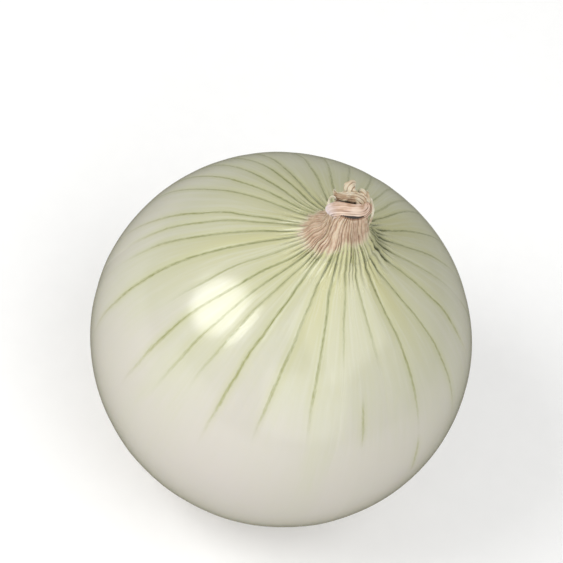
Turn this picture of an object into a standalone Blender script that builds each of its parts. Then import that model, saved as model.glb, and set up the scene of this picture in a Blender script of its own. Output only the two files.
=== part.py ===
"""A fresh white onion standing on its root end, in metres, +Z up.

The origin is the middle of the small flat that it stands on. Seen from the front (looking along +Y), the dried
neck rises at the top, its last leaf ends folded across it like the lips of a purse. Three nodes: the bulb, the
dried neck that sits in a shallow seat on the bulb, and the root plate with its trimmed roots under the bulb.
"""

import math
import random
from collections import namedtuple

import bmesh
import bpy
from mathutils import Euler, Vector, noise

MM = 0.001

# Driving sizes, in millimetres
EQUATOR_RADIUS = 44.0
HALF_HEIGHT = 41.25
CENTRE_HEIGHT = 42.4
OVAL = 0.004
OVAL_BEARING = 48.0
GAP = 0.3

# Where each vein of the outer scale runs down the bulb, in degrees round from +X, seen from above
VEIN_BEARINGS = (
    11, 24, 35, 50, 64, 71, 79, 88, 99, 110, 120, 135, 142, 151, 161, 170,
    185, 191, 199, 210, 222, 233, 242, 250, 261, 275, 293, 306, 321, 335, 353,
)
COLUMNS_PER_VEIN = 4
VEIN_HEIGHT = 0.10
VEIN_FADE = 30.0

# Rings of the bulb between its collar and its base, closer together near the collar
BODY_RINGS = 25
RING_CROWDING = 1.35

# Slow swellings and hollows that keep the bulb from being a perfect turned shape
LOBE_HEIGHT = 0.12
LOBE_PER_COLUMN = 0.21
LOBE_PER_MM = 0.05
LOBE_FULL_RADIUS = 20.0

# The collar: where the bulb draws up into pleats round the neck, which leaves it a little right of its axis
COLLAR_RADIUS = 6.0
COLLAR_RISE = 4.3
COLLAR_REACH = 4.4
COLLAR_SHIFT = 1.6
COLLAR_SHIFT_REACH = 9.0
PLEAT_HEIGHT = 0.27
PLEAT_MIDDLE = 8.2
PLEAT_REACH_IN = 2.0
PLEAT_REACH_OUT = 5.5
DEEP_PLEAT_BEARING = -15.0
DEEP_PLEAT_EXTRA = 0.7

# The seat in the bulb's top that the neck's root stands in, and the hollow under the bulb for the root plate
SEAT_RADIUS = 4.7
SEAT_DEPTH = 2.2
SEAT_LIP = 0.1
PLATE_RADIUS = 8.0
PLATE_HEIGHT = 2.5
PUCKER_HEIGHT = 0.9
PUCKER_REACH = 3.0

# The neck: a flattened, pleated stump that leans back over the axis from its shifted foot. Each level is its
# height over the collar, how far its middle is to the right, its half-length, its half-thickness and how deep its
# pleats are as a share
STUMP_COLUMNS = 64
STUMP_BEARING = 20.0
STUMP_PLEAT = 0.17
STUMP_LEVELS = (
    (GAP - SEAT_DEPTH, COLLAR_SHIFT, SEAT_RADIUS - GAP, SEAT_RADIUS - GAP, 0.0),
    (0.1, COLLAR_SHIFT, SEAT_RADIUS - GAP, SEAT_RADIUS - GAP, 0.0),
    (0.42, COLLAR_SHIFT, 5.9, 5.8, 0.5),
    (1.1, 1.5, 5.3, 5.1, 1.0),
    (2.6, 1.2, 4.9, 4.4, 1.0),
    (4.6, 0.8, 4.6, 3.7, 1.0),
    (7.4, 0.4, 4.6, 3.0, 0.9),
    (8.6, 0.2, 3.5, 2.0, 0.3),
)

# The dried leaf ends folded over the neck: the route of each band over the collar's middle, its half-widths
# along the route, its half-thickness, the way its broad face looks, and how lumpy it is
FOLD_SIDES = 16
FOLD_GROOVES = 4
FOLD_GROOVE_DEPTH = 0.14
Fold = namedtuple("Fold", "name route widths thickness facing lumps")
NECK_FOLDS = (
    Fold(
        "front_fold",
        (
            (4.6, 0.9, 5.2), (4.5, 0.8, 7.7), (3.1, 0.4, 9.1),
            (0.3, -0.6, 9.1), (-2.5, -1.6, 8.5), (-4.1, -2.0, 7.1),
        ),
        (0.8, 1.0, 1.2, 1.35, 1.5, 1.65, 1.8, 1.9, 1.9, 1.7, 1.0),
        0.95,
        (0.1, -0.62, 0.78),
        0.0,
    ),
    Fold(
        "back_fold",
        (
            (4.4, 2.8, 5.4), (4.5, 3.1, 7.6), (2.7, 3.0, 9.1),
            (-0.9, 2.3, 9.5), (-3.1, 1.6, 8.8), (-4.2, 0.9, 7.2),
        ),
        (0.8, 1.1, 1.3, 1.4, 1.45, 1.5, 1.5, 1.4, 1.3, 1.1, 0.7),
        0.85,
        (0.05, -0.55, 0.83),
        0.25,
    ),
    Fold(
        "torn_end",
        ((0.8, 3.6, 6.8), (-0.3, 4.0, 8.9), (-2.1, 4.0, 9.7), (-3.5, 3.3, 8.9), (-3.9, 2.3, 7.0)),
        (0.6, 0.8, 0.9, 0.95, 0.9, 0.8, 0.6),
        0.75,
        (-0.1, -0.3, 0.95),
        0.3,
    ),
)

# The root plate's rim from its top to the flat that it stands on: distance in from its radius, and height
PLATE_SIDES = 40
PLATE_RIM = ((0.3, PLATE_HEIGHT), (0.0, 1.6), (0.4, 0.35), (1.0, 0.0))
PLATE_ROUGHNESS = 0.12

# The trimmed roots that fringe the root plate
ROOT_COUNT = 34
ROOT_SIDES = 5
ROOT_STATIONS = 5
ROOT_THICK_END = 0.62
ROOT_THIN_END = 0.42
ROOT_REACH = (12.2, 15.5)
ROOT_TIP_HEIGHT = (0.75, 1.25)
ROOT_BEND = 0.16
ROOT_SEED = 11

SKIN = ("fresh_onion_skin", (0.74, 0.74, 0.56, 1.0), 0.22)
DRIED_LEAF = ("dried_leaf", (0.60, 0.42, 0.26, 1.0), 0.75)
DRIED_ROOT = ("dried_root", (0.42, 0.31, 0.19, 1.0), 0.85)


def clear_scene():
    for obj in list(bpy.data.objects):
        bpy.data.objects.remove(obj)


def plain_material(name, colour, roughness):
    material = bpy.data.materials.new(name)
    material.use_nodes = True
    shader = material.node_tree.nodes["Principled BSDF"]
    shader.inputs["Base Color"].default_value = colour
    shader.inputs["Roughness"].default_value = roughness
    shader.inputs["Metallic"].default_value = 0.0
    return material


def drawn_out(around, stations, place):
    """A closed bmesh: a ring of points, extruded from station to station, with a flat cap at each end.

    place(i, k) gives point i of ring k, in millimetres.
    """
    bm = bmesh.new()
    order = bm.verts.layers.int.new("order")
    ring = bmesh.ops.create_circle(bm, cap_ends=False, segments=around, radius=1.0)["verts"]
    for i, vert in enumerate(ring):
        vert[order] = i
    edges = list(bm.edges)
    for k in range(stations):
        if k:
            drawn = bmesh.ops.extrude_edge_only(bm, edges=edges)["geom"]
            ring = [item for item in drawn if isinstance(item, bmesh.types.BMVert)]
            fresh = set(ring)
            edges = [item for item in drawn if isinstance(item, bmesh.types.BMEdge)]
            edges = [edge for edge in edges if fresh.issuperset(edge.verts)]
        for vert in ring:
            vert.co = place(vert[order], k) * MM
    bmesh.ops.holes_fill(bm, edges=[edge for edge in bm.edges if edge.is_boundary], sides=0)
    bmesh.ops.recalc_face_normals(bm, faces=bm.faces)
    return bm


def finished(bm, name, material):
    mesh = bpy.data.meshes.new(name)
    bm.to_mesh(mesh)
    bm.free()
    mesh.shade_smooth()
    mesh.set_sharp_from_angle(angle=math.radians(50))
    mesh.materials.append(material)
    obj = bpy.data.objects.new(name, mesh)
    bpy.context.scene.collection.objects.link(obj)
    return obj


def joined(base, pieces):
    """base with all the pieces fused into it by one Boolean union."""
    group = bpy.data.collections.new(base.name + "_pieces")
    bpy.context.scene.collection.children.link(group)
    for piece in pieces:
        bpy.context.scene.collection.objects.unlink(piece)
        group.objects.link(piece)
    union = base.modifiers.new("union", "BOOLEAN")
    union.operation = "UNION"
    union.operand_type = "COLLECTION"
    union.collection = group
    union.solver = "EXACT"
    union.use_self = True
    graph = bpy.context.evaluated_depsgraph_get()
    fused = bpy.data.meshes.new_from_object(base.evaluated_get(graph))
    base.modifiers.clear()
    base.data = fused
    for piece in pieces:
        bpy.data.objects.remove(piece)
    bpy.data.collections.remove(group)
    return base


def smooth_curve(points, count):
    """count points spread along a Catmull-Rom curve through the route's points."""
    route = [Vector(p) for p in points]
    route = [2 * route[0] - route[1], *route, 2 * route[-1] - route[-2]]
    spans = len(route) - 3
    curve = []
    for n in range(count):
        along = n / (count - 1) * spans
        k = min(int(along), spans - 1)
        t = along - k
        a, b, c, d = route[k : k + 4]
        bow = (2 * a - 5 * b + 4 * c - d) * t**2 + (3 * b - a - 3 * c + d) * t**3
        curve.append(0.5 * (2 * b + (c - a) * t + bow))
    return curve


def outward(bearing):
    return Vector((math.cos(bearing), math.sin(bearing), 0.0))


def collar_shift(radius):
    """How far the rings near the neck are moved to the right."""
    return COLLAR_SHIFT * math.exp(-((max(0.0, radius - COLLAR_RADIUS) / COLLAR_SHIFT_REACH) ** 2))


def body_height(radius, upper):
    """Height of the plain bulb surface at this radius, on its upper or lower side."""
    level = HALF_HEIGHT * math.sqrt(max(0.0, 1.0 - (radius / EQUATOR_RADIUS) ** 2))
    if upper:
        return CENTRE_HEIGHT + level + COLLAR_RISE * math.exp(-(radius - COLLAR_RADIUS) / COLLAR_REACH)
    return CENTRE_HEIGHT - level + PUCKER_HEIGHT * math.exp(-(radius - PLATE_RADIUS) / PUCKER_REACH)


COLLAR_TOP = Vector((0.0, 0.0, body_height(COLLAR_RADIUS, True)))


def bulb_outline():
    """Radius and height from the floor of the neck's seat, over the bulb, to the roof of the plate's hollow."""
    first = math.asin(COLLAR_RADIUS / EQUATOR_RADIUS)
    last = math.pi - math.asin((PLATE_RADIUS + 2 * GAP) / EQUATOR_RADIUS)
    points = [(SEAT_RADIUS, COLLAR_TOP.z - SEAT_DEPTH), (SEAT_RADIUS + GAP, COLLAR_TOP.z - SEAT_LIP)]
    for k in range(BODY_RINGS + 1):
        polar = first + (last - first) * (k / BODY_RINGS) ** RING_CROWDING
        radius = EQUATOR_RADIUS * math.sin(polar)
        points.append((radius, body_height(radius, polar < math.pi / 2)))
    points.append((PLATE_RADIUS + GAP, PLATE_HEIGHT + GAP))
    return points


def column_bearing(column):
    """A column stands on each vein, with the others at equal steps between it and the next."""
    vein, step = divmod(column, COLUMNS_PER_VEIN)
    here = VEIN_BEARINGS[vein]
    after = VEIN_BEARINGS[(vein + 1) % len(VEIN_BEARINGS)]
    return math.radians(here + (after - here) % 360 * step / COLUMNS_PER_VEIN)


def relief(column, radius, upper):
    """How far a point stands out of the plain surface: pleats at the collar, then a low rib on each vein."""
    lobe = LOBE_HEIGHT * noise.noise(Vector((column * LOBE_PER_COLUMN, radius * LOBE_PER_MM, 3.0)))
    if not upper:
        return lobe * min(1.0, max(0.0, radius - PLATE_RADIUS - 1.0) / LOBE_FULL_RADIUS)
    facing = max(0.0, math.cos(column_bearing(column) - math.radians(DEEP_PLEAT_BEARING)))
    away = (radius - PLEAT_MIDDLE) / (PLEAT_REACH_OUT if radius > PLEAT_MIDDLE else PLEAT_REACH_IN)
    pleat = PLEAT_HEIGHT * (1.0 + DEEP_PLEAT_EXTRA * facing**2) * math.exp(-(away**2))
    pleat *= 1 if column % 2 == 0 else -1
    rib = VEIN_HEIGHT * math.exp(-((radius / VEIN_FADE) ** 4)) if column % COLUMNS_PER_VEIN == 0 else 0.0
    return pleat + rib + lobe * min(1.0, radius / LOBE_FULL_RADIUS)


def build_bulb(material):
    outline = bulb_outline()
    last = len(outline) - 1

    def place(column, ring):
        radius, height = outline[ring]
        upper = height > CENTRE_HEIGHT
        bearing = column_bearing(column)
        oval = 1.0 + OVAL * math.cos(2 * (bearing - math.radians(OVAL_BEARING))) * radius / EQUATOR_RADIUS
        shift = collar_shift(radius) if upper else 0.0
        point = outward(bearing) * radius * oval + Vector((shift, 0, height))
        if ring < 2 or ring == last:
            return point
        before, after = outline[max(ring - 1, 2)], outline[min(ring + 1, last - 1)]
        normal = outward(bearing) * (before[1] - after[1]) + Vector((0, 0, after[0] - before[0]))
        return point + normal.normalized() * relief(column, radius, upper)

    columns = len(VEIN_BEARINGS) * COLUMNS_PER_VEIN
    return finished(drawn_out(columns, len(outline), place), "bulb", material)


def build_stump(material):
    """The stump: a root in the bulb's seat, a lip over the collar, then a pleated tube pressed flat at its top."""
    turn = math.radians(STUMP_BEARING)

    def place(column, ring):
        height, middle, half_length, half_thickness, pleated = STUMP_LEVELS[ring]
        angle = math.tau * column / STUMP_COLUMNS
        uneven = 0.7 + 0.7 * noise.noise(Vector((column, ring * 0.3, 1.0)))
        depth = STUMP_PLEAT * uneven * pleated * (1 if column % 2 else -1)
        along, across = (half_length + depth) * math.cos(angle), (half_thickness + depth) * math.sin(angle)
        point = Vector((along, across, height))
        point.rotate(Euler((0, 0, turn)))
        return point + COLLAR_TOP + Vector((middle, 0, 0))

    return finished(drawn_out(STUMP_COLUMNS, len(STUMP_LEVELS), place), "neck", material)


def build_fold(fold, material):
    """A dried leaf end lying across the neck: a flat band with grooves along its outer face."""
    stations = len(fold.widths)
    path = smooth_curve(fold.route, stations)
    facing = Vector(fold.facing).normalized()

    def place(side, ring):
        ahead = path[min(ring + 1, stations - 1)] - path[max(ring - 1, 0)]
        across = ahead.cross(facing).normalized()
        out = across.cross(ahead).normalized()
        angle = math.tau * side / FOLD_SIDES
        groove = FOLD_GROOVE_DEPTH * math.cos(angle * FOLD_GROOVES * 2) if math.sin(angle) > 0.1 else 0.0
        lump = fold.lumps * noise.noise(Vector((side * 0.7, ring * 0.8, 5.0)))
        width = fold.widths[ring]
        thickness = fold.thickness * min(1.0, 0.5 + 0.6 * width / max(fold.widths)) + groove + lump
        point = path[ring] + across * width * math.cos(angle) + out * thickness * math.sin(angle)
        return point + COLLAR_TOP

    return finished(drawn_out(FOLD_SIDES, stations, place), fold.name, material)


def build_neck(material):
    return joined(build_stump(material), [build_fold(fold, material) for fold in NECK_FOLDS])


def build_plate(material):
    """The corky disc that the onion stands on: flat below, with an uneven bevelled rim."""

    def place(column, ring):
        inset, height = PLATE_RIM[ring]
        way = outward(math.tau * column / PLATE_SIDES)
        uneven = PLATE_ROUGHNESS * noise.noise(way * 3 + Vector((0, 0, height)))
        return way * (PLATE_RADIUS - inset + uneven) + Vector((0, 0, height))

    return finished(drawn_out(PLATE_SIDES, len(PLATE_RIM), place), "root_plate", material)


def build_root(number, draw, material):
    """One trimmed root: out of the plate's rim, down, and along just above what the onion stands on."""
    bearing = math.tau * (number + draw.uniform(-0.3, 0.3)) / ROOT_COUNT
    reach = draw.uniform(*ROOT_REACH)
    bend = reach * draw.uniform(-ROOT_BEND, ROOT_BEND)
    tip = draw.uniform(*ROOT_TIP_HEIGHT)
    halfway = (PLATE_RADIUS + reach) / 2
    inside = ((PLATE_RADIUS - 2.2, 0, 1.35), (PLATE_RADIUS + 0.3, 0, 1.2))
    path = smooth_curve((*inside, (halfway, bend * 0.4, 0.85), (reach, bend, tip)), ROOT_STATIONS)

    def place(side, ring):
        angle = math.tau * side / ROOT_SIDES
        radius = ROOT_THICK_END + (ROOT_THIN_END - ROOT_THICK_END) * ring / (ROOT_STATIONS - 1)
        point = path[ring] + Vector((0, math.cos(angle), math.sin(angle))) * radius
        point.rotate(Euler((0, 0, bearing)))
        return point

    return finished(drawn_out(ROOT_SIDES, ROOT_STATIONS, place), f"root_{number}", material)


def build_root_plate(material):
    draw = random.Random(ROOT_SEED)
    roots = [build_root(number, draw, material) for number in range(ROOT_COUNT)]
    return joined(build_plate(material), roots)


def main():
    clear_scene()
    build_bulb(plain_material(*SKIN))
    build_neck(plain_material(*DRIED_LEAF))
    build_root_plate(plain_material(*DRIED_ROOT))


main()
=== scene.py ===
"""Looks of a fresh white onion, dressed over its solids: veined skin, dried folded neck and root plate."""

import math
import random
from collections import namedtuple

import bmesh
import bpy
from mathutils import Euler, Matrix, Vector, noise


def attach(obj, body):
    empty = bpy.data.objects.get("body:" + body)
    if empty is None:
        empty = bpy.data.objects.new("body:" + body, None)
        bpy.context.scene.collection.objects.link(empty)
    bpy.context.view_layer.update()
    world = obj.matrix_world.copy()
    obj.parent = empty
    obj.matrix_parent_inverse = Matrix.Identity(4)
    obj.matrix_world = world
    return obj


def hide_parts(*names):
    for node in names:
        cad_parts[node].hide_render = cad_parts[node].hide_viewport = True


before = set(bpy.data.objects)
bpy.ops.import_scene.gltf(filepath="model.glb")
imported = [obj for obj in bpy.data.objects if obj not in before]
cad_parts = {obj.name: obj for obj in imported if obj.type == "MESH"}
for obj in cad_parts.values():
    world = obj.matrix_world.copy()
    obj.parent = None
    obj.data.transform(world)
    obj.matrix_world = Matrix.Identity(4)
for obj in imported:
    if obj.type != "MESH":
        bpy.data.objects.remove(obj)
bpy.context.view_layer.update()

MM = 0.001

# The bulb, in millimetres, as in the solids
EQUATOR_RADIUS = 44.0
HALF_HEIGHT = 41.25
CENTRE_HEIGHT = 42.4
OVAL = 0.004
OVAL_BEARING = 48.0
COLLAR_RADIUS = 6.0
COLLAR_RISE = 4.3
COLLAR_REACH = 4.4
COLLAR_SHIFT = 1.6
COLLAR_SHIFT_REACH = 9.0
PLATE_RADIUS = 8.0
PLATE_HEIGHT = 2.5
GAP = 0.3
PUCKER_HEIGHT = 0.9
PUCKER_REACH = 3.0

# The veins of the outer scale: bearing at the neck in degrees round from +X, how far it drifts on its way
# down, how far down from the collar it fades, in millimetres, how strong its green is, how sharply it is
# creased in, and how far down a faint last piece of it shows, where one does
Vein = namedtuple("Vein", "bearing drift reach strength crease rest", defaults=(None,))
VEINS = (
    Vein(13, -4, 43, 0.8, 0.5), Vein(24, 1, 29, 0.5, 0.4, 41), Vein(35, 1, 34, 0.8, 0.6),
    Vein(50, 1, 36, 0.8, 0.5), Vein(64, 0, 38, 0.8, 0.4), Vein(71, 0, 44, 0.8, 0.4),
    Vein(79, 0, 40, 0.8, 0.4), Vein(88, 0, 46, 0.9, 0.5), Vein(99, 0, 36, 0.6, 0.3, 47),
    Vein(110, 1, 44, 0.8, 0.4), Vein(120, 0, 48, 0.9, 0.5), Vein(135, 0, 50, 0.9, 0.5),
    Vein(142, 1, 46, 0.9, 0.4), Vein(151, 1, 50, 0.9, 0.5), Vein(161, 0, 52, 1.0, 0.5),
    Vein(170, 0, 48, 0.8, 0.4, 58), Vein(185, 0, 50, 0.9, 0.4), Vein(191, 1, 46, 0.8, 0.4),
    Vein(199, -1, 44, 0.9, 0.6), Vein(210, 0, 60, 1.0, 1.0), Vein(222, 1, 33, 0.6, 0.08),
    Vein(233, 0, 54, 1.0, 0.08), Vein(242, 0, 47, 0.8, 0.1), Vein(250, 1, 40, 0.7, 0.3),
    Vein(260, 3, 49, 1.0, 1.0), Vein(274, 4, 43, 0.9, 0.6), Vein(290, 5, 40, 0.9, 0.5),
    Vein(303, 1, 24, 0.6, 0.3), Vein(311, 2, 1, 0.8, 0.0, 38), Vein(320, 3, 25, 0.6, 0.3),
    Vein(335, 0, 43, 0.8, 0.5, 53), Vein(353, 1, 48, 0.8, 0.5),
)
# Columns of the mesh, which crowd towards the veins between these distances down from the collar
COLUMNS_PER_VEIN = 12
COLUMNS_PER_PLEAT = COLUMNS_PER_VEIN // 2
COLUMNS = COLUMNS_PER_VEIN * len(VEINS)
COLUMN_CROWDING = 0.7
CROWDING_DOWN = (6.0, 16.0)
# How veins waver on their way down, and wriggle in the deep pleats
VEIN_WAVER = 0.35
VEIN_WAVER_LENGTH = 7.0
VEIN_STRAIGHTENING = 0.7
DRIFT_LENGTH = 60.0
WRIGGLE = 0.9
WRIGGLE_DOWN = 2.5
WRIGGLE_REACH = 3.0
WRIGGLE_LENGTH = 1.6
# A vein's green fades between these shares of its reach, and its crease between the next two
GREEN_FADE = (0.72, 1.12)
CREASE_FADE = (0.6, 1.0)
LAST_PIECE_LENGTH = 5.0
LEAST_VEIN_GAP = math.radians(4.0)
# The crease that a vein lies in, and the swell of the flesh between two veins
CREASE_DEPTH = 0.08
CREASE_WIDTH = 0.9
SWELL_HEIGHT = 0.17
SWELL_REACH = 36.0

# Rings of the bulb: crowded on the pleated collar, wider apart on the smooth body
COLLAR_RINGS = 70
BODY_RINGS = 110
SHOULDER_RADIUS = 16.0

# The pleats: the radius where they stand highest, how far they reach in and out from it, and where they are
# shorter or deeper. Veins closer than the gap, in degrees, have one pleat between them, and others have two.
PLEAT_HEIGHT = 0.30
PLEAT_MIDDLE = 8.0
TWO_PLEAT_GAP = 8.5
PLEAT_REACH_IN = 3.0
PLEAT_REACH_OUT = 4.6
SHORT_PLEATS = 0.4
SHORT_PLEAT_BEARING = 300.0
DEEP_PLEAT_BEARING = 20.0
DEEP_PLEAT_EXTRA = 0.9
# Where the crowded folds at the foot of the neck get darker green and painted shade
DARK_FOLD_BEARING = 35.0
DARK_FOLD_RADIUS = 8.0
DARK_FOLD_REACH = 3.6
# Broad unevenness of the whole bulb
LOBE_HEIGHT = 0.12
# The dried brim round the neck: its radius, how much further it reaches on the flared side, and its edge
BRIM_RADIUS = 5.6
BRIM_FLARE = 3.2
BRIM_EDGE = (-2.0, 2.2)
# How much less a crest has dried than a hollow
CREST_DRYING = 0.4

# The neck's pleated sheath. Its lower edge lies on the bulb; the rest rises as a flattened, leaning stump.
# On the bulb: radius, extra radius on the flared side, and height over the skin
SHEATH_HEM = ((7.3, 2.4, -0.06), (6.7, 1.7, 0.10))
# Above: height over the collar, middle, half-length, half-thickness and extra radius on the flared side
SHEATH_LEVELS = (
    (0.05, 1.60, 6.15, 6.10, 1.15),
    (0.75, 1.52, 5.50, 5.40, 0.85),
    (1.70, 1.28, 5.02, 4.85, 0.50),
    (3.00, 0.88, 4.62, 4.30, 0.25),
    (4.80, 0.45, 4.28, 3.70, 0.10),
    (7.00, 0.05, 4.12, 3.00, 0.0),
    (8.10, 0.00, 3.60, 2.40, 0.0),
    (8.70, 0.20, 2.20, 1.00, 0.0),
)
SHEATH_RINGS = 84
# The bearing that the flattened stump is longest along, and the one that its foot flares towards
SHEATH_BEARING = 20.0
FLARE_BEARING = 197.0
# Heights over the collar between which the pleats run together, the stump closes and its inside is painted
# dark as shade
CLIMB = (-0.5, 3.5)
CLOSING = (7.6, 8.6)
MOUTH = (7.7, 8.5)
STUMP_FOLDS = 0.45
# The sheath has dried above this height, down to well below it on the flared side
DRIED_HEIGHT = 2.2
DRIED_FLARE = 5.2

# The dried leaf ends over the neck: a route over the collar's top, half-widths along it, half-thickness,
# the way the outer face looks, where lines run along it from its lower side (-1) to its upper side (1),
# how deep they are, how far its sides cup, and how crumpled and how ragged it is
Leaf = namedtuple("Leaf", "name route widths thickness facing lines depth cup crumple ragged")
LEAVES = (
    Leaf(
        "front_leaf",
        ((2.4, 3.9, 8.1), (3.0, 2.5, 8.2), (2.4, 0.8, 8.4), (0.3, -0.7, 8.5), (-1.7, -1.6, 8.2),
         (-3.05, -2.1, 7.4), (-3.45, -1.9, 6.1)),
        (0.7, 1.1, 1.4, 1.6, 1.7, 1.75, 1.85, 1.95, 1.95, 1.7, 1.0),
        thickness=0.75, facing=(0.1, -0.62, 0.78), lines=(-0.82, -0.56, -0.3, 0.0),
        depth=0.25, cup=-0.2, crumple=0.2, ragged=0.08,
    ),
    Leaf(
        "back_leaf",
        ((-4.6, 1.4, 8.2), (-3.6, 1.4, 8.8), (-2.4, 1.7, 9.1), (-1.2, 2.4, 9.2), (0.2, 3.1, 9.0),
         (1.7, 3.4, 8.3), (2.8, 3.2, 7.0), (3.5, 2.5, 5.2)),
        (0.35, 0.8, 1.0, 1.15, 1.25, 1.35, 1.3, 1.1, 0.8),
        thickness=0.50, facing=(0.0, -0.50, 0.87), lines=(-0.6, -0.1, 0.5),
        depth=0.12, cup=-0.25, crumple=0.4, ragged=0.3,
    ),
    Leaf(
        "torn_leaf",
        ((-1.7, 3.2, 7.8), (-2.0, 3.7, 9.2), (-2.1, 4.1, 9.9), (-2.0, 4.6, 10.1), (-1.9, 5.2, 9.7)),
        (1.1, 1.35, 1.5, 1.4, 0.9),
        thickness=0.40, facing=(0.1, -0.75, 0.65), lines=(-0.4, 0.3),
        depth=0.1, cup=-0.3, crumple=0.4, ragged=0.35,
    ),
    Leaf(
        "side_leaf",
        ((2.6, 2.8, 6.2), (2.4, 3.8, 7.9), (1.6, 4.5, 8.9), (0.6, 5.0, 9.3), (-0.3, 5.1, 8.9)),
        (0.8, 0.95, 0.9, 0.75, 0.4),
        thickness=0.30, facing=(0.35, -0.5, 0.8), lines=(-0.3, 0.4),
        depth=0.1, cup=-0.3, crumple=0.4, ragged=0.35,
    ),
    Leaf(
        "left_curl",
        ((-3.6, -1.5, 6.6), (-4.4, -1.4, 7.6), (-4.9, -0.7, 8.3), (-4.9, 0.1, 8.7), (-4.3, 0.5, 8.8),
         (-3.6, 0.3, 8.4)),
        (0.45, 0.35, 0.25, 0.2, 0.22, 0.15),
        thickness=0.08, facing=(-0.6, -0.6, 0.5), lines=(0.2,),
        depth=0.03, cup=0.12, crumple=0.12, ragged=0.35,
    ),
    Leaf(
        "left_scrap",
        ((-3.2, 0.8, 7.6), (-4.2, 1.3, 8.7), (-4.8, 1.5, 9.4), (-4.9, 1.5, 9.9)),
        (0.7, 0.6, 0.4, 0.12),
        thickness=0.08, facing=(-0.2, -0.8, 0.6), lines=(0.2,),
        depth=0.03, cup=0.15, crumple=0.2, ragged=0.4,
    ),
    Leaf(
        "right_edge",
        ((5.0, 2.2, 3.6), (4.8, 3.0, 5.6), (4.3, 3.7, 7.1), (3.5, 4.5, 8.2), (2.7, 5.1, 8.6)),
        (0.7, 0.65, 0.5, 0.4, 0.2),
        thickness=0.08, facing=(0.9, -0.2, 0.5), lines=(0.2,),
        depth=0.03, cup=0.2, crumple=0.2, ragged=0.35,
    ),
    Leaf(
        "right_strand",
        ((2.6, 3.4, 7.4), (2.3, 4.7, 8.6), (1.6, 5.7, 9.1), (1.2, 6.2, 9.0)),
        (0.35, 0.3, 0.22, 0.1),
        thickness=0.08, facing=(0.2, -0.7, 0.7), lines=(0.2,),
        depth=0.02, cup=0.1, crumple=0.15, ragged=0.35,
    ),
)
LEAF_SIDES = 100
LEAF_STATIONS = 80
LEAF_LINE_WIDTH = 0.075

ROOT_COUNT = 150
ROOT_SEED = 5
ROOT_SIDES = 6
ROOT_STATIONS = 9
ROOT_REACH = (10.5, 15.3)
ROOT_BEND = 0.22
ROOT_START_HEIGHT = (0.6, 2.0)
ROOT_MIDDLE_HEIGHT = (0.4, 1.5)
ROOT_TIP_HEIGHT = (0.35, 1.5)
ROOT_THICKNESS = (0.26, 0.42)
ROOT_TAPER = 0.45
# The rim of the root plate, from its top to the middle of its underside: radius and height
PLATE_RIM = (
    (6.0, 2.45),
    (7.6, PLATE_HEIGHT),
    (8.0, 2.0),
    (8.0, 1.3),
    (7.7, 0.5),
    (7.0, 0.0),
    (5.5, 0.0),
    (3.0, 0.0),
)
PLATE_SIDES = 120
PLATE_RINGS = 40

# The camera: where it looks from, how it is rolled, and how large the onion is in the photograph's frame
CAMERA_ELEVATION = 54.04
CAMERA_ROLL = 28.04
CAMERA_DISTANCE = 600.0
FRAME_PIXELS = 563
PIXELS_PER_MM = 4.3351
BULB_CENTRE_PIXEL = (281.42, 338.65)

# The sockets that the skin's material is mixed from
SkinReads = namedtuple("SkinReads", "down vein_mm vein_on groove dried depth streak fine fleck")


def linear(hex_colour):
    """An sRGB hex colour as linear RGBA."""
    parts = [int(hex_colour[i : i + 2], 16) / 255 for i in (1, 3, 5)]
    return (*[p / 12.92 if p <= 0.04045 else ((p + 0.055) / 1.055) ** 2.4 for p in parts], 1.0)


def add(tree, kind, inputs=None, stops=None, **settings):
    """Adds a node with its settings. Each input is linked if it is given a socket, and otherwise set."""
    node = tree.nodes.new(kind)
    for name, value in settings.items():
        setattr(node, name, value)
    for key, value in (inputs or {}).items():
        if isinstance(value, bpy.types.NodeSocket):
            tree.links.new(value, node.inputs[key])
        else:
            node.inputs[key].default_value = value
    if stops:
        ramp = node.color_ramp
        while len(ramp.elements) < len(stops):
            ramp.elements.new(0.5)
        for element, (place, colour) in zip(ramp.elements, stops):
            element.position = place
            element.color = linear(colour)
    return node


def new_material(name):
    """A new material, its node tree and its shader."""
    material = bpy.data.materials.new(name)
    material.use_nodes = True
    tree = material.node_tree
    return material, tree, tree.nodes["Principled BSDF"]


def stretched_noise(tree, kinds):
    """Noise stretched along the fibres, one for each pair of scales per millimetre and detail."""
    fibre = add(tree, "ShaderNodeAttribute", attribute_name="fibre_mm").outputs["Vector"]
    found = []
    for scales, detail in kinds:
        place = add(tree, "ShaderNodeMapping", {"Vector": fibre, "Scale": scales}).outputs[0]
        grain = add(tree, "ShaderNodeTexNoise", {"Vector": place, "Scale": 1.0, "Detail": detail})
        found.append(grain.outputs[0])
    return found


def skin_reads(tree):
    """What the skin's colours are mixed by: the marks kept on its mesh, and noise along its fibres."""
    marks = [
        add(tree, "ShaderNodeAttribute", attribute_name=name).outputs["Fac"]
        for name in ("down_mm", "vein_mm", "vein_on", "groove", "dried")
    ]
    # Fibres 0.8 mm apart that run down the scale, broad patches of some 12 mm, and half-millimetre flecks
    kinds = (((1.25, 1.25, 0.07), 3.0), ((0.08, 0.08, 0.015), 1.5), ((1.6, 1.6, 0.8), 2.0))
    fine, broad, fleck = stretched_noise(tree, kinds)
    # The green reaches further down between some veins than others
    shift = add(tree, "ShaderNodeMapRange", {0: broad, 1: 0.3, 2: 0.7, 3: -10.0, 4: 10.0}).outputs[0]
    streak = add(tree, "ShaderNodeMapRange", {0: fine, 1: 0.3, 2: 0.7, 3: -4.0, 4: 4.0}).outputs[0]
    depth = add(tree, "ShaderNodeMath", {0: marks[0], 1: shift}, operation="ADD").outputs[0]
    depth = add(tree, "ShaderNodeMath", {0: depth, 1: streak}, operation="ADD").outputs[0]
    depth = add(tree, "ShaderNodeMapRange", {0: depth, 1: 0.0, 2: 80.0}).outputs[0]
    return SkinReads(*marks, depth, streak, fine, fleck)


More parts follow.
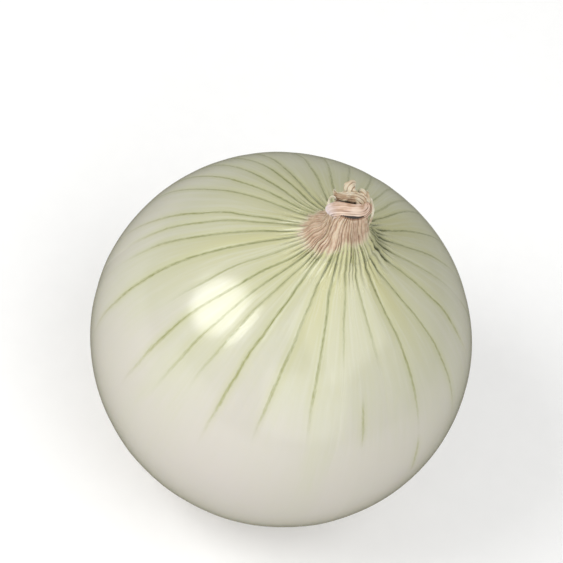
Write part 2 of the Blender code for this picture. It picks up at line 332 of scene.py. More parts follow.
def flesh(tree, reads):
    """Yellowish green by the neck, fading to a warm greyish white under the widest part."""
    stops = ((0.0, "#cac799"), (0.2, "#cccbac"), (0.42, "#d0cfbb"), (0.6, "#d3cfc5"), (0.85, "#d5cfca"))
    return add(tree, "ShaderNodeValToRGB", {0: reads.depth}, stops=stops).outputs[0]


def halo_share(tree, reads):
    """How much of a soft yellow-green halo there is, some 2 mm to each side of a vein."""
    near = {0: reads.vein_mm, 1: 0.0, 2: 2.2, 3: 0.38, 4: 0.0}
    share = add(tree, "ShaderNodeMapRange", near, interpolation_type="SMOOTHSTEP").outputs[0]
    return add(tree, "ShaderNodeMath", {0: share, 1: reads.vein_on}, operation="MULTIPLY").outputs[0]


def vein_share(tree, reads):
    """How much of a vein's own line there is: half a millimetre wide, in darker and lighter lengths.

    Further down it lies deeper under the skin, and shows wider and fainter.
    """
    edge = add(tree, "ShaderNodeMapRange", {0: reads.fleck, 1: 0.3, 2: 0.7, 3: 0.36, 4: 0.6}).outputs[0]
    widened = add(tree, "ShaderNodeMapRange", {0: reads.down, 1: 26.0, 2: 46.0, 3: 1.0, 4: 1.35}).outputs[0]
    edge = add(tree, "ShaderNodeMath", {0: edge, 1: widened}, operation="MULTIPLY").outputs[0]
    near = {0: reads.vein_mm, 1: 0.0, 2: edge, 3: 1.0, 4: 0.0}
    share = add(tree, "ShaderNodeMapRange", near, interpolation_type="SMOOTHSTEP").outputs[0]
    faint = add(tree, "ShaderNodeMapRange", {0: reads.down, 1: 26.0, 2: 46.0, 3: 1.0, 4: 0.85}).outputs[0]
    patchy = add(tree, "ShaderNodeMapRange", {0: reads.fleck, 1: 0.35, 2: 0.6, 3: 0.45, 4: 0.9}).outputs[0]
    for part in (faint, reads.vein_on, patchy):
        share = add(tree, "ShaderNodeMath", {0: share, 1: part}, operation="MULTIPLY").outputs[0]
    return share


def vein_green(tree, reads):
    """Olive near the neck, paler and yellower further down."""
    stops = ((0.0, "#535a1c"), (0.15, "#757c3c"), (0.4, "#8b8f4e"), (0.75, "#a2a468"))
    return add(tree, "ShaderNodeValToRGB", {0: reads.depth}, stops=stops).outputs[0]


def pale_fibre_share(tree, reads):
    """How much of the shoulder's paler fibres there is: none by the widest part."""
    near = add(tree, "ShaderNodeMapRange", {0: reads.down, 1: 15.0, 2: 55.0, 3: 0.35, 4: 0.0}).outputs[0]
    share = add(tree, "ShaderNodeMapRange", {0: reads.fine, 1: 0.48, 2: 0.72}).outputs[0]
    return add(tree, "ShaderNodeMath", {0: share, 1: near}, operation="MULTIPLY").outputs[0]


def brim_shares(tree, reads):
    """How much of the dried brim's cream border and of its tan there is. Its edge is ragged."""
    ragged = add(tree, "ShaderNodeMapRange", {0: reads.streak, 1: -4.0, 2: 4.0, 3: -0.3, 4: 0.3}).outputs[0]
    brim = add(tree, "ShaderNodeMath", {0: reads.dried, 1: ragged}, operation="ADD").outputs[0]
    border = add(tree, "ShaderNodeMapRange", {0: brim, 1: 0.0, 2: 0.4}).outputs[0]
    within = add(tree, "ShaderNodeMapRange", {0: reads.dried, 1: 0.02, 2: 0.15}).outputs[0]
    border = add(tree, "ShaderNodeMath", {0: border, 1: within}, operation="MULTIPLY").outputs[0]
    return border, add(tree, "ShaderNodeMapRange", {0: brim, 1: 0.3, 2: 0.8}).outputs[0]


def brim_tan(tree, reads):
    """Papery tan with darker fibres."""
    mottle = add(tree, "ShaderNodeMath", {0: reads.fine, 1: reads.fleck}, operation="ADD").outputs[0]
    mottle = add(tree, "ShaderNodeMapRange", {0: mottle, 1: 0.7, 2: 1.3}).outputs[0]
    stops = ((0.15, "#ab8a73"), (0.5, "#caab94"), (0.85, "#ddc9b2"))
    return add(tree, "ShaderNodeValToRGB", {0: mottle}, stops=stops).outputs[0]


def skin_roughness(tree, reads, brim):
    """Waxy skin with a clear reflection, duller by the neck and dull where it has dried."""
    waxy = add(tree, "ShaderNodeMapRange", {0: reads.down, 1: 2.0, 2: 14.0, 3: 0.34, 4: 0.19}).outputs[0]
    dull = add(tree, "ShaderNodeMapRange", {0: brim, 3: waxy, 4: 0.65}).outputs[0]
    uneven = add(tree, "ShaderNodeMapRange", {0: reads.fleck, 1: 0.3, 2: 0.7, 3: -0.04, 4: 0.04}).outputs[0]
    return add(tree, "ShaderNodeMath", {0: dull, 1: uneven}, operation="ADD").outputs[0]


def layered(tree, colour, layers):
    """The colour with each layer mixed over it: how much of it there is, and its own colour."""
    for share, over in layers:
        colour = add(tree, "ShaderNodeMix", {0: share, 6: colour, 7: over}, data_type="RGBA").outputs[2]
    return colour


def fresh_onion_skin():
    """Moist outer scale of a fresh white onion: thin, waxy and a little see-through, which softens light.

    Its green is strongest at the neck and along the veins, and fades to a greyish white lower down. Round
    the neck it has dried to a papery tan. Shade is painted into its creases and into the mouth of the neck.
    """
    material, tree, shader = new_material("fresh_onion_skin")
    reads = skin_reads(tree)
    border, brim = brim_shares(tree, reads)
    # Painted shade in the bottoms of the creases: olive in the flesh, brown where it has dried
    shade = add(tree, "ShaderNodeMapRange", {0: reads.groove, 1: 0.2, 2: 1.1, 3: 0.0, 4: 0.9}).outputs[0]
    hollow = layered(tree, linear("#4c521f"), ((brim, linear("#8a6347")),))
    # Painted shade: near black where the neck's mouth closes over
    inside = add(tree, "ShaderNodeMapRange", {0: reads.groove, 1: 1.5, 2: 2.2}).outputs[0]
    layers = (
        (halo_share(tree, reads), linear("#c4c58e")),
        (vein_share(tree, reads), vein_green(tree, reads)),
        (pale_fibre_share(tree, reads), linear("#dadac6")),
        (border, linear("#d6cdae")),
        (brim, brim_tan(tree, reads)),
        (shade, hollow),
        (inside, linear("#24160c")),
    )
    tree.links.new(layered(tree, flesh(tree, reads), layers), shader.inputs["Base Color"])
    tree.links.new(skin_roughness(tree, reads, brim), shader.inputs["Roughness"])
    bump = add(tree, "ShaderNodeBump", {"Strength": 0.35, "Distance": 0.00006, "Height": reads.fine})
    tree.links.new(bump.outputs[0], shader.inputs["Normal"])
    shader.inputs["IOR"].default_value = 1.55
    shader.inputs["Specular IOR Level"].default_value = 0.75
    shader.inputs["Subsurface Weight"].default_value = 0.25
    shader.inputs["Subsurface Radius"].default_value = (1.0, 0.9, 0.6)
    shader.inputs["Subsurface Scale"].default_value = 0.002
    # The thin cuticle takes some light away, most where it is seen edge-on
    shader.inputs["Coat Weight"].default_value = 1.0
    shader.inputs["Coat IOR"].default_value = 1.005
    shader.inputs["Coat Roughness"].default_value = 0.2
    shader.inputs["Coat Tint"].default_value = (0.87, 0.87, 0.845, 1.0)
    return material


def dried_leaf(name, light, middle, dark, tip):
    """Dried leaf end: papery, matt and fibrous, paler at its ragged end, with painted shade in brown along
    its creases.
    """
    material, tree, shader = new_material(name)
    groove = add(tree, "ShaderNodeAttribute", attribute_name="groove").outputs["Fac"]
    tipped = add(tree, "ShaderNodeAttribute", attribute_name="tipped").outputs["Fac"]
    # Fibres about 0.35 mm apart and some 6 mm long, and blotches of 2 mm
    fine, blotch = stretched_noise(tree, (((2.9, 2.9, 0.17), 4.0), ((0.5, 0.5, 0.4), 2.0)))
    mixed = add(tree, "ShaderNodeMath", {0: fine, 1: blotch}, operation="ADD").outputs[0]
    mixed = add(tree, "ShaderNodeMapRange", {0: mixed, 1: 0.75, 2: 1.25}).outputs[0]
    stops = ((0.1, dark), (0.45, middle), (0.8, light))
    papery = add(tree, "ShaderNodeValToRGB", {0: mixed}, stops=stops).outputs[0]
    # Painted shade: brown along the creases
    shade = add(tree, "ShaderNodeMapRange", {0: groove, 1: 0.2, 2: 1.0, 3: 0.0, 4: 0.8}).outputs[0]
    colour = layered(tree, papery, ((tipped, linear(tip)), (shade, linear("#7d573f"))))
    tree.links.new(colour, shader.inputs["Base Color"])
    bump = add(tree, "ShaderNodeBump", {"Strength": 0.8, "Distance": 0.00015, "Height": fine}).outputs[0]
    tree.links.new(bump, shader.inputs["Normal"])
    shader.inputs["Roughness"].default_value = 0.72
    shader.inputs["IOR"].default_value = 1.45
    shader.inputs["Subsurface Weight"].default_value = 0.1
    shader.inputs["Subsurface Radius"].default_value = (1.0, 0.7, 0.4)
    shader.inputs["Subsurface Scale"].default_value = 0.0005
    return material


def dried_root():
    """Trimmed dry roots and the corky plate they grow from: brown, fibrous and dull."""
    material, tree, shader = new_material("dried_root")
    place = add(tree, "ShaderNodeTexCoord").outputs["Object"]
    # Corky grain about 0.6 mm across
    grain = add(tree, "ShaderNodeTexNoise", {"Vector": place, "Scale": 1600.0, "Detail": 5.0})
    colour = add(
        tree,
        "ShaderNodeValToRGB",
        {0: grain.outputs[0]},
        stops=((0.3, "#6e5434"), (0.5, "#a5865a"), (0.7, "#cdb98c")),
    )
    tree.links.new(colour.outputs[0], shader.inputs["Base Color"])
    bump = add(tree, "ShaderNodeBump", {"Strength": 0.7, "Distance": 0.0003, "Height": grain.outputs[0]})
    tree.links.new(bump.outputs[0], shader.inputs["Normal"])
    shader.inputs["Roughness"].default_value = 0.85
    return material


def studio_paper():
    """Seamless white paper: matt, with nothing on it."""
    material, tree, shader = new_material("studio_paper")
    place = add(tree, "ShaderNodeTexCoord").outputs["Object"]
    # Paper grain, drawn 5 mm across so that it shows at all
    grain = add(tree, "ShaderNodeTexNoise", {"Vector": place, "Scale": 200.0, "Detail": 2.0})
    colour = add(
        tree, "ShaderNodeValToRGB", {0: grain.outputs[0]}, stops=((0.0, "#f9f9f8"), (1.0, "#fdfdfc"))
    )
    tree.links.new(colour.outputs[0], shader.inputs["Base Color"])
    shader.inputs["Roughness"].default_value = 0.9
    return material


def drawn_out(around, stations, place, marks=(), capped=True):
    """A bmesh: a ring of points, extruded from station to station, capped at both ends.

    place(i, k) gives point i of ring k in millimetres, and one value for each of the named marks.
    """
    bm = bmesh.new()
    order = bm.verts.layers.int.new("order")
    layers = []
    for mark in marks:
        kind = bm.verts.layers.float_vector if mark == "fibre_mm" else bm.verts.layers.float
        layers.append(kind.new(mark))
    ring = bmesh.ops.create_circle(bm, cap_ends=False, segments=around, radius=1.0)["verts"]
    for i, vert in enumerate(ring):
        vert[order] = i
    edges = list(bm.edges)
    for k in range(stations):
        if k:
            drawn = bmesh.ops.extrude_edge_only(bm, edges=edges)["geom"]
            ring = [item for item in drawn if isinstance(item, bmesh.types.BMVert)]
            fresh = set(ring)
            edges = [item for item in drawn if isinstance(item, bmesh.types.BMEdge)]
            edges = [edge for edge in edges if fresh.issuperset(edge.verts)]
        for vert in ring:
            point, *values = place(vert[order], k)
            vert.co = point * MM
            for layer, value in zip(layers, values):
                vert[layer] = value
    if capped:
        bmesh.ops.holes_fill(bm, edges=[edge for edge in bm.edges if edge.is_boundary], sides=0)
    bmesh.ops.recalc_face_normals(bm, faces=bm.faces)
    return bm


def finished(bm, name, material, node):
    """The bmesh as a smooth object that rides on the part and stands for the named solid."""
    mesh = bpy.data.meshes.new(name)
    bm.to_mesh(mesh)
    bm.free()
    mesh.shade_smooth()
    mesh.materials.append(material)
    obj = bpy.data.objects.new(name, mesh)
    bpy.context.scene.collection.objects.link(obj)
    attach(obj, "root")
    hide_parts(node)
    return obj


def smooth_curve(points, count):
    """count points spread along a Catmull-Rom curve through the given points."""
    route = [Vector(p) for p in points]
    route = [2 * route[0] - route[1], *route, 2 * route[-1] - route[-2]]
    spans = len(route) - 3
    curve = []
    for n in range(count):
        along = n / (count - 1) * spans
        k = min(int(along), spans - 1)
        t = along - k
        a, b, c, d = route[k : k + 4]
        bow = (2 * a - 5 * b + 4 * c - d) * t**2 + (3 * b - a - 3 * c + d) * t**3
        curve.append(0.5 * (2 * b + (c - a) * t + bow))
    return curve


def smoothstep(low, high, value):
    """0 up to the low value, 1 from the high one, and a smooth rise between."""
    t = min(1.0, max(0.0, (value - low) / (high - low)))
    return t * t * (3 - 2 * t)


def smooth_noise(x, y, z):
    """A value between about -1 and 1 that changes smoothly from place to place."""
    return noise.noise(Vector((x, y, z)))


def outward(bearing):
    """The level direction at this bearing."""
    return Vector((math.cos(bearing), math.sin(bearing), 0.0))


def collar_shift(radius):
    """How far the rings near the neck are moved to the right."""
    return COLLAR_SHIFT * math.exp(-((max(0.0, radius - COLLAR_RADIUS) / COLLAR_SHIFT_REACH) ** 2))


def body_height(radius, upper):
    """Height of the plain bulb surface at this radius, on its upper or lower side."""
    level = HALF_HEIGHT * math.sqrt(max(0.0, 1.0 - (radius / EQUATOR_RADIUS) ** 2))
    if upper:
        return CENTRE_HEIGHT + level + COLLAR_RISE * math.exp(-(radius - COLLAR_RADIUS) / COLLAR_REACH)
    return CENTRE_HEIGHT - level + PUCKER_HEIGHT * math.exp(-(radius - PLATE_RADIUS) / PUCKER_REACH)


COLLAR_TOP = Vector((0.0, 0.0, body_height(COLLAR_RADIUS, True)))


def bulb_outline():
    """Radius, height and distance down from the collar, in millimetres, from inside the neck to below."""
    radii = []
    for k in range(COLLAR_RINGS):
        radii.append(COLLAR_RADIUS - 0.6 + (SHOULDER_RADIUS - COLLAR_RADIUS + 0.6) * k / COLLAR_RINGS)
    first = math.asin(SHOULDER_RADIUS / EQUATOR_RADIUS)
    last = math.pi - math.asin((PLATE_RADIUS + GAP) / EQUATOR_RADIUS)
    points = [(radius, body_height(radius, True)) for radius in radii]
    for k in range(BODY_RINGS + 1):
        polar = first + (last - first) * k / BODY_RINGS
        radius = EQUATOR_RADIUS * math.sin(polar)
        points.append((radius, body_height(radius, polar < math.pi / 2)))
    points.append((PLATE_RADIUS - 1.0, points[-1][1] + 0.2))
    outline = []
    down = points[0][0] - COLLAR_RADIUS
    for k, (radius, height) in enumerate(points):
        if k:
            down += math.dist(points[k], points[k - 1])
        outline.append((radius, height, down))
    return outline


def vein_bearing(number, down, radius):
    """Bearing of a vein, in radians, this far down from the collar: it drifts and wavers on its way."""
    number %= len(VEINS)
    vein = VEINS[number]
    waver = smooth_noise(number * 3.7, down / VEIN_WAVER_LENGTH, 1.5)
    waver += 2 * smooth_noise(number * 1.3, down / (4 * VEIN_WAVER_LENGTH), 7.5)
    # short wriggles in the deep creases
    wriggle = WRIGGLE * towards(math.radians(vein.bearing), DEEP_PLEAT_BEARING)
    wriggle *= math.exp(-(((down - WRIGGLE_DOWN) / WRIGGLE_REACH) ** 2))
    wriggle *= smooth_noise(number * 2.9, down / WRIGGLE_LENGTH, 4.5)
    bearing = math.radians(vein.bearing + vein.drift * min(1.0, down / DRIFT_LENGTH))
    # the neck leans off the axis, but the veins still run towards the axis
    straighten = VEIN_STRAIGHTENING * collar_shift(radius) * math.sin(bearing)
    return bearing + (VEIN_WAVER * waver + wriggle + straighten) / max(radius, 4.0)


def span_share(step, down):
    """How far between two veins a column stands. Below the pleats the columns crowd towards the veins."""
    even = step / COLUMNS_PER_VEIN
    crowding = COLUMN_CROWDING * smoothstep(*CROWDING_DOWN, down)
    return even - crowding * math.sin(math.tau * even) / math.tau


def bearings_at(down, radius):
    """Bearing of every column of the bulb, this far down: one on each vein, the rest between."""
    veins = [vein_bearing(number, down, radius) for number in range(len(VEINS))]
    for number in list(range(len(VEINS))) * 3:
        after = (number + 1) % len(VEINS)
        gap = (veins[after] - veins[number] + math.pi) % math.tau - math.pi
        # neighbours that waver into each other are held apart
        short = max(0.0, LEAST_VEIN_GAP - gap) / 2
        veins[number] -= short
        veins[after] += short
    shares = [span_share(step, down) for step in range(COLUMNS_PER_VEIN)]
    bearings = []
    for number, here in enumerate(veins):
        span = (veins[(number + 1) % len(veins)] - here) % math.tau
        bearings.extend(here + span * share for share in shares)
    return bearings


def nearest_vein(column, bearings, radius):
    """The nearest vein, and how many millimetres it is away."""
    number, step = divmod(column, COLUMNS_PER_VEIN)
    if step * 2 > COLUMNS_PER_VEIN:
        number += 1
    number %= len(VEINS)
    turn = bearings[column] - bearings[number * COLUMNS_PER_VEIN]
    return VEINS[number], abs((turn + math.pi) % math.tau - math.pi) * radius


def fine_pleats(share):
    """-1 at the bottom of a crease to 1 on the crest of a pleat, two pleats from vein to vein."""
    return 2.0 * abs(math.sin(math.tau * share)) ** 0.8 - 1.0


def coarse_pleats(share):
    """The same with one pleat from vein to vein, as the pleats run together on the neck."""
    return 2.0 * abs(math.sin(math.pi * share)) ** 0.8 - 1.0


def pleats(column, share, merged):
    """The pleats' wave at this column: fine ones, run together by this much. Close veins hold only one."""
    number = column // COLUMNS_PER_VEIN
    gap = (VEINS[(number + 1) % len(VEINS)].bearing - VEINS[number].bearing) % 360
    merged = 1.0 if gap < TWO_PLEAT_GAP else merged
    return fine_pleats(share) * (1.0 - merged) + coarse_pleats(share) * merged


def towards(bearing, middle, sharpness=1.0):
    """1 where the bearing is the middle one, given in degrees, and 0 a quarter turn away and beyond."""
    return max(0.0, math.cos(bearing - math.radians(middle))) ** sharpness


def pleat_reach(radius, bearing):
    """How much of the pleats is left at this radius: most where the neck rises, and shorter on the front."""
    reach = PLEAT_REACH_IN
    if radius > PLEAT_MIDDLE:
        reach = PLEAT_REACH_OUT * (1.0 - SHORT_PLEATS * towards(bearing, SHORT_PLEAT_BEARING))
    return math.exp(-(((radius - PLEAT_MIDDLE) / reach) ** 2))


def skin_marks(column, bearings, down, radius):
    """What the skin's material reads: distance to the vein, its green, and the place along the fibres."""
    vein, away = nearest_vein(column, bearings, radius)
    strength = 1.0 - smoothstep(vein.reach * GREEN_FADE[0], vein.reach * GREEN_FADE[1], down)
    if vein.rest:
        strength += 0.9 * math.exp(-(((down - vein.rest) / LAST_PIECE_LENGTH) ** 4))
    strength *= vein.strength
    strength *= 1.0 + 0.25 * smooth_noise(vein.bearing, down * 0.25, 2.5)
    flat = outward(math.tau * column / COLUMNS)
    return away, strength, vein, Vector((flat.x * EQUATOR_RADIUS, flat.y * EQUATOR_RADIUS, down))


SKIN_MARKS = ("vein_mm", "vein_on", "groove", "dried", "down_mm", "fibre_mm")


def unevenness(column, radius):
    """No two pleats are equally deep."""
    return 0.75 + 0.7 * smooth_noise(column // COLUMNS_PER_PLEAT * 2.3, radius * 0.15, 9.0)


def fold_green_and_shade(bearing, radius):
    """The crowded folds at the foot of the neck, where the green is darkest and painted shade is laid over
    it.
    """
    near = math.exp(-(((radius - DARK_FOLD_RADIUS) / DARK_FOLD_REACH) ** 2))
    return towards(bearing, DARK_FOLD_BEARING, 5.0) * near


def dried_in_pleats(dried, wave):
    """How far the skin has dried: more in the hollows of the pleats than on their crests."""
    return dried - CREST_DRYING * wave * dried * (1.0 - 0.5 * dried)


def swell(column, share, radius):
    """How far the flesh stands out between two veins, more where they are sharply creased in."""
    number = column // COLUMNS_PER_VEIN
    creases = VEINS[number].crease * (1.0 - share) + VEINS[(number + 1) % len(VEINS)].crease * share
    return SWELL_HEIGHT * creases * math.sin(math.pi * share) * math.exp(-((radius / SWELL_REACH) ** 4))


def build_bulb(material, outline, turns):
    """The veined skin, pleated at the collar, from inside the neck to under the bulb."""
    last = len(outline) - 1

    def place(column, ring):
        radius, height, down = outline[ring]
        upper = height > CENTRE_HEIGHT
        bearing = turns[ring][column]
        share = span_share(column % COLUMNS_PER_VEIN, down)
        way = outward(bearing)
        oval = 1.0 + OVAL * math.cos(2 * (bearing - math.radians(OVAL_BEARING))) * radius / EQUATOR_RADIUS
        lean = collar_shift(radius) if upper else 0.0
        point = way * radius * oval + Vector((lean, 0, height))
        away, strength, vein, fibre = skin_marks(column, turns[ring], down, radius)
        # the dried brim reaches furthest on the left of the neck
        hem = BRIM_RADIUS + BRIM_FLARE * towards(bearing, FLARE_BEARING, 1.5)
        dried = 1.0 - smoothstep(hem + BRIM_EDGE[0], hem + BRIM_EDGE[1], radius)
        groove = 0.0
        push = LOBE_HEIGHT * smooth_noise(column * 0.07, radius * 0.05, 3.0)
        push *= min(1.0, radius / 20.0)
        if upper:
            deep = towards(bearing, DEEP_PLEAT_BEARING, 2.0)
            pleated = pleat_reach(radius, bearing)
            uneven = unevenness(column, radius)
            wave = pleats(column, share, 0.5 * deep)
            push += PLEAT_HEIGHT * (1.0 + DEEP_PLEAT_EXTRA * deep) * uneven * wave * pleated
            # Painted shade: darker in the creases between the pleats and over the crowded folds by the neck
            groove = max(0.0, -wave) * pleated * uneven * (0.75 + 0.9 * deep)
            groove += fold_green_and_shade(bearing, radius) * (1.0 - 0.55 * wave)
            dried = dried_in_pleats(dried, wave)
            push += swell(column, share, radius) * (1.0 - pleated)
        fade = 1.0 - smoothstep(vein.reach * CREASE_FADE[0], vein.reach * CREASE_FADE[1], down)
        push -= CREASE_DEPTH * vein.crease * fade * math.exp(-((away / CREASE_WIDTH) ** 2))
        # the first and the last ring stay as they are
        if 0 < ring < last:
            before, after = outline[ring - 1], outline[ring + 1]
            normal = way * (before[1] - after[1]) + Vector((0, 0, after[0] - before[0]))
            point += normal.normalized() * push
        return point, away, strength, groove, dried, down, fibre

    bm = drawn_out(COLUMNS, len(outline), place, SKIN_MARKS)
    return finished(bm, "bulb_skin", material, "bulb")


def nearest_ring(outline, radius):
    """The ring of the collar whose radius is nearest to this one."""
    return min(range(COLLAR_RINGS), key=lambda ring: abs(outline[ring][0] - radius))


def sheath_profile(column, outline, turns):
    """The sheath's profile along this column, from its hem on the bulb up to the top of the neck."""
    foot = turns[nearest_ring(outline, COLLAR_RADIUS)][column]
    points = []
    for radius, extra, lift in SHEATH_HEM:
        reach = radius + extra * towards(foot, FLARE_BEARING, 1.5)
        way = outward(turns[nearest_ring(outline, reach)][column])
        point = way * reach + Vector((collar_shift(reach), 0, body_height(reach, True) + lift))
        points.append(point - COLLAR_TOP)
    for height, middle, half_length, half_thickness, extra in SHEATH_LEVELS:
        angle = foot - math.radians(SHEATH_BEARING)
        across = math.hypot(math.cos(angle) / half_length, math.sin(angle) / half_thickness)
        reach = 1.0 / across + extra * towards(foot, FLARE_BEARING, 1.5)
        points.append(outward(foot) * reach + Vector((middle, 0, height)))
    return foot, smooth_curve(points, SHEATH_RINGS)


def build_sheath(material, outline, turns):
    """The dried sheath of the neck: the collar's pleats drawn together into a flattened stump."""
    profiles = [sheath_profile(column, outline, turns) for column in range(COLUMNS)]
    bearings = [bearing for bearing, profile in profiles]

    def place(column, ring):
        bearing, profile = profiles[column]
        point = profile[ring].copy()
        rising = profile[min(ring + 1, SHEATH_RINGS - 1)] - profile[max(ring - 1, 0)]
        around = Vector((0, 0, 1)).cross(outward(bearing))
        normal = around.cross(rising).normalized()
        height = point.z
        radius = (point - Vector((COLLAR_SHIFT, 0, 0))).xy.length
        share = column % COLUMNS_PER_VEIN / COLUMNS_PER_VEIN
        climb = smoothstep(*CLIMB, height)
        deep = towards(bearing, DEEP_PLEAT_BEARING, 2.0)
        drawn_in = 0.5 + smooth_noise(column // COLUMNS_PER_VEIN * 1.7, height * 0.25, 8.0)
        wave = pleats(column, share, max(0.5 * deep, climb * drawn_in))
        uneven = unevenness(column, radius)
        uneven += (0.9 * smooth_noise(column // COLUMNS_PER_PLEAT * 1.9, height * 0.3, 4.0) + 0.1) * climb
        top = 1.0 - smoothstep(*CLOSING, height)
        push = PLEAT_HEIGHT * (1.0 + DEEP_PLEAT_EXTRA * deep * (1.0 - climb)) * wave * uneven * top
        push *= (1.0 - 0.4 * climb) * pleat_reach(max(radius, PLEAT_MIDDLE), bearing)
        push += 0.05 * smooth_noise(column * 0.6, height * 0.2, 6.0)
        folds = noise.noise(outward(bearing) * 2.2 + Vector((0, 0, height * 0.12)))
        push += STUMP_FOLDS * folds * climb * top
        point += normal * push
        point += around * 0.25 * smooth_noise(column * 0.05, height * 0.45, 2.0) * climb
        # Painted shade: darker in the creases between the pleats, over the crowded folds, and near black in
        # the stump's mouth
        groove = max(0.0, -wave) * min(1.0, uneven) * (0.75 + 0.9 * deep * (1.0 - climb))
        groove += fold_green_and_shade(bearing, radius) * (1.0 - 0.55 * wave) * (1.0 - climb)
        groove += 3.0 * smoothstep(*MOUTH, height)
        foot = DRIED_HEIGHT - DRIED_FLARE * towards(bearing, FLARE_BEARING)
        ragged = 0.5 * smooth_noise(column * 0.5, height, 1.0)
        dried = smoothstep(foot - 1.4, foot + 1.6, height + ragged)
        dried = dried_in_pleats(dried, wave)
        away, strength, vein, fibre = skin_marks(column, bearings, max(0.0, -height), COLLAR_RADIUS)
        strength *= 1.0 - smoothstep(0.5, 2.5, height)
        fibre.x, fibre.y, fibre.z = fibre.x * 0.22, fibre.y * 0.22, -height * 0.9
        return point + COLLAR_TOP, away, strength, groove, dried, max(0.0, -height), fibre

    bm = drawn_out(COLUMNS, SHEATH_RINGS, place, SKIN_MARKS)
    return finished(bm, "neck_sheath", material, "neck")


def spread(values, share):
    """The value this share of the way along a row of values."""
    along = share * (len(values) - 1)
    k = min(int(along), len(values) - 2)
    return values[k] + (values[k + 1] - values[k]) * (along - k)


def build_leaf(leaf, material):
    """A dried leaf end over the neck: a crumpled band with ridges along it and ragged edges."""
    path = smooth_curve(leaf.route, LEAF_STATIONS)
    facing = Vector(leaf.facing).normalized()
    length = sum((b - a).length for a, b in zip(path, path[1:]))
    seed = sum(leaf.route[0]) * 7.0
    last = LEAF_STATIONS - 1

    def place(side, ring):
        share = ring / last
        along = share * length
        angle = math.tau * side / LEAF_SIDES
        x = math.copysign(abs(math.cos(angle)) ** 0.8, math.cos(angle))
        y = math.copysign(abs(math.sin(angle)) ** 0.6, math.sin(angle))
        # the ends are torn unevenly across the band
        torn = leaf.ragged * 2.0 * smooth_noise(x * 2.5, seed, share)
        # and the band thins towards both of them
        end = min(1.0, min(share, 1 - share) * 9.0 + 0.3)
        ahead = path[min(ring + 1, last)] - path[max(ring - 1, 0)]
        across = ahead.cross(facing).normalized()
        out = across.cross(ahead).normalized()
        width = spread(leaf.widths, share)
        width *= 1.0 + leaf.ragged * smooth_noise(along * 0.9, math.copysign(3.0, x), seed)
        # the lines wander and fade along the band
        valley = 0.0
        for number, middle in enumerate(leaf.lines):
            wander = 0.12 * smooth_noise(along * 0.35, number * 3.1, seed)
            faint = 0.9 + 0.7 * smooth_noise(along * 0.5, number * 1.7, seed + 3.0)
            valley += faint * math.exp(-(((x - middle - wander) / LEAF_LINE_WIDTH) ** 2))
        # creases of three sizes
        lift = leaf.cup * (x * x - 0.5) - leaf.depth * valley
        lift += leaf.crumple * smooth_noise(x * 1.1, along * 0.5, seed + 5.0)
        lift += 0.4 * leaf.crumple * smooth_noise(x * 3.1, along * 1.2, seed + 9.0)
        lift += 0.06 * smooth_noise(x * 9.0, along * 0.4, seed)
        thickness = leaf.thickness * (1.0 - 0.25 * x * x) * end
        point = path[ring] + across * width * x * (0.6 + 0.4 * end)
        point += out * (thickness * y + lift * (1.0 if y > 0 else 0.6))
        point += ahead.normalized() * torn * (1.0 if share > 0.5 else -1.0) * abs(2 * share - 1) ** 6
        # Painted shade along the lines, weaker on the underside
        groove = max(0.0, valley) * (1.0 if y > 0 else 0.4)
        tipped = smoothstep(0.66, 0.92, share + 0.08 * smooth_noise(x * 2, share * 4, seed))
        fibre = Vector((x * width, y * 0.3, along + seed))
        return point + COLLAR_TOP, groove, tipped * 0.75, fibre

    bm = drawn_out(LEAF_SIDES, LEAF_STATIONS, place, ("groove", "tipped", "fibre_mm"))
    return finished(bm, leaf.name, material, "neck")


def build_root_plate(material):
    """The corky disc under the bulb, flat where it stands, ringed by the scars of old roots."""
    outline = smooth_curve([(radius, height, 0) for radius, height in PLATE_RIM], PLATE_RINGS)

    def place(column, ring):
        radius, height = outline[ring][:2]
        way = outward(math.tau * column / PLATE_SIDES)
        rough = 0.18 * noise.noise(way * 9 + Vector((0, 0, height * 1.5)))
        return (way * (radius + rough) + Vector((0, 0, max(0.0, height))),)

    bm = drawn_out(PLATE_SIDES, PLATE_RINGS, place)
    return finished(bm, "root_disc", material, "root_plate")


def build_roots(material):
    """Trimmed dry roots, thin and bent, fringing the plate."""
    draw = random.Random(ROOT_SEED)
    roots = bmesh.new()
    for number in range(ROOT_COUNT):
        bearing = math.tau * (number + draw.uniform(-0.5, 0.5)) / ROOT_COUNT
        reach = draw.uniform(*ROOT_REACH)
        bend = reach * draw.uniform(-ROOT_BEND, ROOT_BEND)
        start_height = draw.uniform(*ROOT_START_HEIGHT)
        tip_height = draw.uniform(*ROOT_TIP_HEIGHT)
        thickness = draw.uniform(*ROOT_THICKNESS)
        half_way = (PLATE_RADIUS + reach) / 2
        route = (
            (PLATE_RADIUS - 1.2, 0, start_height),
            (PLATE_RADIUS + 0.6, bend * 0.1, start_height * 0.9),
            (half_way, bend * draw.uniform(0.1, 0.7), draw.uniform(*ROOT_MIDDLE_HEIGHT)),
            (reach, bend, tip_height),
        )
        path = smooth_curve(route, ROOT_STATIONS)

        def place(side, ring):
            angle = math.tau * side / ROOT_SIDES
            radius = thickness * (1.0 - ROOT_TAPER * ring / (ROOT_STATIONS - 1))
            point = path[ring] + Vector((0, math.cos(angle), math.sin(angle))) * radius
            point.z = max(point.z, 0.05)
            point.rotate(Euler((0, 0, bearing)))
            return (point,)

        root = drawn_out(ROOT_SIDES, ROOT_STATIONS, place)
        mesh = bpy.data.meshes.new("root")
        root.to_mesh(mesh)
        root.free()
        roots.from_mesh(mesh)
        bpy.data.meshes.remove(mesh)
    return finished(roots, "trimmed_roots", material, "root_plate")


def build_floor(material):
    """A wide level sheet that the onion stands on."""
    bm = bmesh.new()
    bmesh.ops.create_grid(bm, x_segments=1, y_segments=1, size=3.0)
    mesh = bpy.data.meshes.new("floor")
    bm.to_mesh(mesh)
    bm.free()
    mesh.materials.append(material)
    floor = bpy.data.objects.new("floor", mesh)
    bpy.context.scene.collection.objects.link(floor)


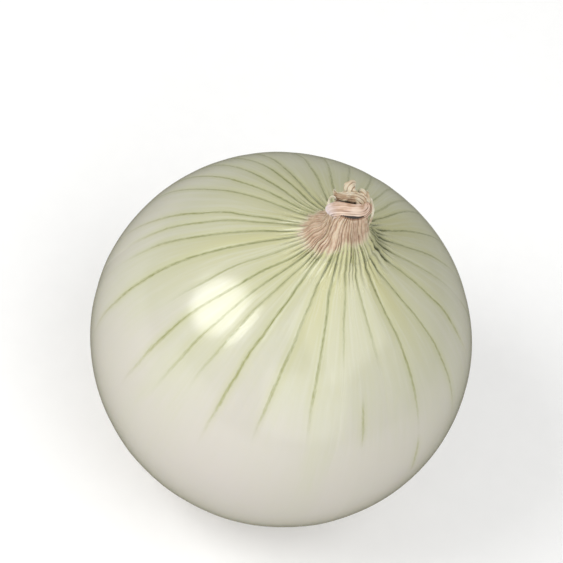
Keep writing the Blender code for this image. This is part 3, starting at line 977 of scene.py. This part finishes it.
def camera_axes():
    """The photograph's right, up and towards-the-camera directions."""
    elevation, roll = math.radians(CAMERA_ELEVATION), math.radians(CAMERA_ROLL)
    back = Vector((0, -math.cos(elevation), math.sin(elevation)))
    level = Vector((1, 0, 0))
    upright = Vector((0, math.sin(elevation), math.cos(elevation)))
    right = level * math.cos(roll) + upright * math.sin(roll)
    return right, back.cross(right), back


def build_camera():
    """A long lens over the front of the onion, aimed above its middle so that it sits low in the frame."""
    right, up, back = camera_axes()
    centre = Vector((0, 0, CENTRE_HEIGHT))
    place = centre + back * CAMERA_DISTANCE
    middle = FRAME_PIXELS / 2
    aim = centre + right * (middle - BULB_CENTRE_PIXEL[0]) / PIXELS_PER_MM
    aim += up * (BULB_CENTRE_PIXEL[1] - middle) / PIXELS_PER_MM
    z = (place - aim).normalized()
    x = (right - z * right.dot(z)).normalized()
    matrix = Matrix((x, z.cross(x), z)).transposed().to_4x4()
    matrix.translation = place * MM
    data = bpy.data.cameras.new("camera")
    data.sensor_width = 36.0
    data.lens = data.sensor_width * CAMERA_DISTANCE * PIXELS_PER_MM / FRAME_PIXELS
    data.clip_start = 0.01
    camera = bpy.data.objects.new("camera", data)
    camera.matrix_world = matrix
    bpy.context.scene.collection.objects.link(camera)
    bpy.context.scene.camera = camera


def build_light(name, way, distance, size, power, shape="SQUARE"):
    """A soft light, this way from the bulb's middle in the camera's right, up and back directions."""
    centre = Vector((0, 0, CENTRE_HEIGHT)) * MM
    axes = camera_axes()
    direction = sum((axis * share for axis, share in zip(axes, way)), Vector()).normalized()
    data = bpy.data.lights.new(name, "AREA")
    data.shape = shape
    data.size = size
    data.energy = power
    light = bpy.data.objects.new(name, data)
    light.location = centre + direction * distance
    light.rotation_euler = direction.to_track_quat("Z", "Y").to_euler()
    bpy.context.scene.collection.objects.link(light)


def build_lights():
    """A white studio with a round key light high on the left, whose reflection shows, and weak boxes."""
    build_light("key", (-0.517, 0.37, 0.77), 0.8, 0.46, 3.2, "DISK")
    build_light("low_front", (0.25, -0.6, 0.80), 1.0, 0.8, 2.2)
    build_light("right", (0.6, 0.15, 0.79), 1.0, 0.8, 2.8)
    build_light("left", (-0.85, -0.45, 0.35), 1.0, 0.8, 1.5)
    world = bpy.data.worlds.new("studio")
    world.use_nodes = True
    background = world.node_tree.nodes["Background"]
    background.inputs["Color"].default_value = linear("#ffffff")
    background.inputs["Strength"].default_value = 0.57
    bpy.context.scene.world = world
    bpy.context.scene.view_settings.view_transform = "Standard"


def main():
    build_camera()
    build_lights()
    build_floor(studio_paper())
    skin = fresh_onion_skin()
    outline = bulb_outline()
    turns = [bearings_at(down, radius) for radius, height, down in outline]
    build_bulb(skin, outline, turns)
    build_sheath(skin, outline, turns)
    front = dried_leaf("dried_front_leaf", "#dcc8b6", "#cfb5a2", "#b09078", "#cdc6ca")
    back = dried_leaf("dried_back_leaf", "#d2c8b2", "#bfad92", "#967a60", "#c6bea8")
    paper = dried_leaf("dried_leaf_edge", "#d9d4c2", "#c9c0a9", "#ad997c", "#d9d4c2")
    for leaf, material in zip(LEAVES, (front, back, back, back, paper, paper, paper, paper)):
        build_leaf(leaf, material)
    root = dried_root()
    build_root_plate(root)
    build_roots(root)


main()
